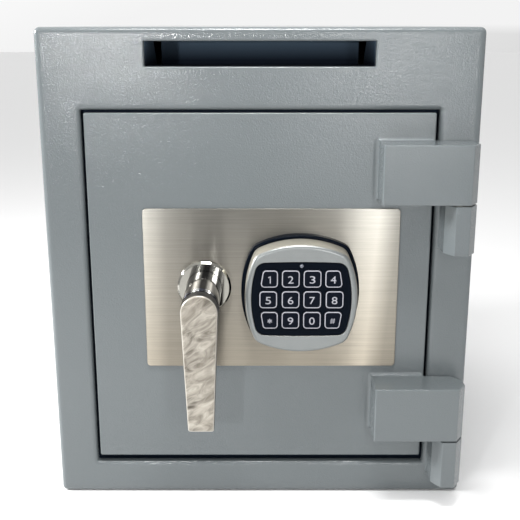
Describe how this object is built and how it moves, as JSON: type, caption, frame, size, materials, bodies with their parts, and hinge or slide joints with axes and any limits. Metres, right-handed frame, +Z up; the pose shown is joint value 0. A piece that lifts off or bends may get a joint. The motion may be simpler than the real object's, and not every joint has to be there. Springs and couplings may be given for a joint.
{
  "type": "deposit safe",
  "caption": "Steel cabinet safe with a deposit slot over a flush door on block hinges, opened by a keypad lock and a lever that throws round locking bolts.",
  "frame": {"origin": "middle of the underside, on the surface that the safe stands on", "axes": "+Z up, -Y out of the front face towards the person who opens it, +X to that person's right, the hinge side"},
  "size_m": [0.34, 0.412, 0.386],
  "materials": {
    "enamel": "grey textured enamel, semi-gloss",
    "brushed_plate": "horizontally brushed stainless steel",
    "bright_chrome": "polished",
    "lever_metal": "polished cast metal with a rippled face",
    "keypad_silver": "satin silver",
    "keypad_black": "gloss",
    "key_black": "satin",
    "lens_grey": "clear gloss",
    "plated_steel": "zinc plated",
    "hard_steel": "hardened, as rolled",
    "board_green": "solder mask",
    "cell_jacket": "plain jacket"
  },
  "bodies": {
    "cabinet": {"body_shell": "enamel", "front_frame": "enamel", "door_stop_frame": "enamel", "deposit_chute": "enamel", "anti_fish_baffle": "plated_steel", "upper_hinge_knuckle": "enamel", "lower_hinge_knuckle": "enamel", "upper_hinge_pin": "plated_steel", "lower_hinge_pin": "plated_steel", "upper_hinge_washer": "plated_steel", "lower_hinge_washer": "plated_steel"},
    "door": {"door_plate": "enamel", "upper_hinge_block": "enamel", "lower_hinge_block": "enamel", "hard_plate": "hard_steel", "escutcheon_plate": "brushed_plate", "hinge_side_dog": "plated_steel", "bolt_cover": "enamel", "cover_stud_upper_left": "plated_steel", "cover_stud_lower_left": "plated_steel", "cover_stud_upper_right": "plated_steel", "cover_stud_lower_right": "plated_steel", "carrier_guide_upper": "plated_steel", "carrier_guide_lower": "plated_steel", "lock_case": "plated_steel", "lock_screw_upper": "plated_steel", "lock_screw_lower": "plated_steel", "handle_rose": "bright_chrome", "keypad_base": "keypad_black", "keypad_housing": "keypad_silver", "keypad_fascia": "keypad_black", "keypad_board": "board_green", "battery": "cell_jacket", "status_lens": "lens_grey"},
    "handle": {"handle_neck": "bright_chrome", "lever_grip": "lever_metal", "handle_spindle": "plated_steel", "spindle_clip": "plated_steel", "drive_cam": "plated_steel", "cam_pin": "plated_steel"},
    "boltwork": {"bolt_carrier": "plated_steel", "drive_plate": "plated_steel", "locking_bolt_upper": "plated_steel", "locking_bolt_middle": "plated_steel", "locking_bolt_lower": "plated_steel"},
    "lock_bolt_body": {"lock_bolt": "plated_steel"},
    "key_1_body": {"key_1": "key_black"},
    "key_2_body": {"key_2": "key_black"},
    "key_3_body": {"key_3": "key_black"},
    "key_4_body": {"key_4": "key_black"},
    "key_5_body": {"key_5": "key_black"},
    "key_6_body": {"key_6": "key_black"},
    "key_7_body": {"key_7": "key_black"},
    "key_8_body": {"key_8": "key_black"},
    "key_9_body": {"key_9": "key_black"},
    "key_0_body": {"key_0": "key_black"},
    "key_star_body": {"key_star": "key_black"},
    "key_hash_body": {"key_hash": "key_black"}
  },
  "joints": [
    {"name": "door_swing", "type": "hinge", "parent": "cabinet", "child": "door", "pos_m": [0.1535, -0.185, 0.178], "axis": [0, 0, 1], "range_deg": [0, 130]},
    {"name": "handle_turn", "type": "hinge", "parent": "door", "child": "handle", "pos_m": [-0.0445, -0.17, 0.1847], "axis": [0, 1, 0], "range_deg": [0, 90]},
    {"name": "bolt_slide", "type": "slide", "parent": "door", "child": "boltwork", "axis": [-1, 0, 0], "range_m": [0, 0.024]},
    {"name": "lock_bolt_slide", "type": "slide", "parent": "door", "child": "lock_bolt_body", "axis": [0, 0, 1], "range_m": [0, 0.009]},
    {"name": "key_1_press", "type": "slide", "parent": "door", "child": "key_1_body", "axis": [0, 1, 0], "range_m": [0, 0.001], "stiffness_N_per_m": 500},
    {"name": "key_2_press", "type": "slide", "parent": "door", "child": "key_2_body", "axis": [0, 1, 0], "range_m": [0, 0.001], "stiffness_N_per_m": 500},
    {"name": "key_3_press", "type": "slide", "parent": "door", "child": "key_3_body", "axis": [0, 1, 0], "range_m": [0, 0.001], "stiffness_N_per_m": 500},
    {"name": "key_4_press", "type": "slide", "parent": "door", "child": "key_4_body", "axis": [0, 1, 0], "range_m": [0, 0.001], "stiffness_N_per_m": 500},
    {"name": "key_5_press", "type": "slide", "parent": "door", "child": "key_5_body", "axis": [0, 1, 0], "range_m": [0, 0.001], "stiffness_N_per_m": 500},
    {"name": "key_6_press", "type": "slide", "parent": "door", "child": "key_6_body", "axis": [0, 1, 0], "range_m": [0, 0.001], "stiffness_N_per_m": 500},
    {"name": "key_7_press", "type": "slide", "parent": "door", "child": "key_7_body", "axis": [0, 1, 0], "range_m": [0, 0.001], "stiffness_N_per_m": 500},
    {"name": "key_8_press", "type": "slide", "parent": "door", "child": "key_8_body", "axis": [0, 1, 0], "range_m": [0, 0.001], "stiffness_N_per_m": 500},
    {"name": "key_9_press", "type": "slide", "parent": "door", "child": "key_9_body", "axis": [0, 1, 0], "range_m": [0, 0.001], "stiffness_N_per_m": 500},
    {"name": "key_0_press", "type": "slide", "parent": "door", "child": "key_0_body", "axis": [0, 1, 0], "range_m": [0, 0.001], "stiffness_N_per_m": 500},
    {"name": "key_star_press", "type": "slide", "parent": "door", "child": "key_star_body", "axis": [0, 1, 0], "range_m": [0, 0.001], "stiffness_N_per_m": 500},
    {"name": "key_hash_press", "type": "slide", "parent": "door", "child": "key_hash_body", "axis": [0, 1, 0], "range_m": [0, 0.001], "stiffness_N_per_m": 500}
  ],
  "couplings": [
    {"joint": "bolt_slide", "follows": "handle_turn", "m_per_rad": 0.015278}
  ]
}
